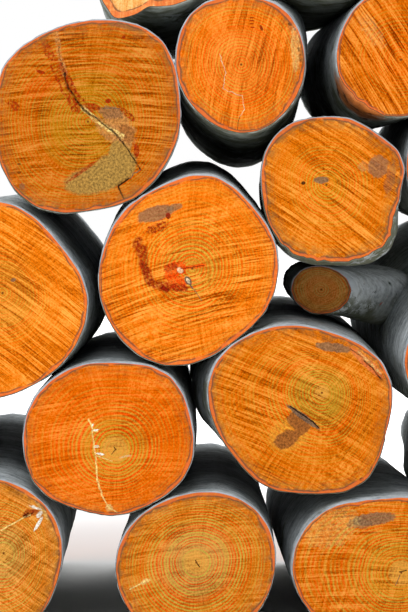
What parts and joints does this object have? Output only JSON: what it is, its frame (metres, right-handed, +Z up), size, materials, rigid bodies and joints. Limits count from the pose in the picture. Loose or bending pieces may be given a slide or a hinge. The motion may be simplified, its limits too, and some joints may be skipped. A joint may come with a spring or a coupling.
{
  "type": "stack of logs",
  "caption": "Pyramid stack of freshly felled alder logs cut to one metre, with orange sawn ends, grey bark and one forked log.",
  "frame": {"origin": "middle of the stack's footprint, on the ground", "axes": "+Z up; the sawn ends seen in the picture face -Y and the logs lie along Y; +X to the right of a viewer who faces those ends"},
  "size_m": [1.611, 1.008, 1.364],
  "materials": {
    "alder_log": "raw: fresh orange saw-cut ends with rings and saw marks, smooth grey bark"
  },
  "bodies": {
    "root": {"row_1_left_end_log": "alder_log", "row_1_notched_log": "alder_log", "row_1_middle_log": "alder_log", "row_1_broad_log": "alder_log", "row_1_right_end_log": "alder_log", "row_2_left_end_log": "alder_log", "row_2_ringed_log": "alder_log", "row_2_knotty_log": "alder_log", "row_2_right_end_log": "alder_log", "row_3_broad_log": "alder_log", "row_3_stained_log": "alder_log", "row_3_forked_log": "alder_log", "row_4_split_log": "alder_log", "row_4_mossy_log": "alder_log", "row_4_right_end_log": "alder_log", "row_5_butt_log": "alder_log", "row_5_scarred_log": "alder_log", "row_6_torn_log": "alder_log", "row_6_slender_log": "alder_log"}
  },
  "joints": []
}
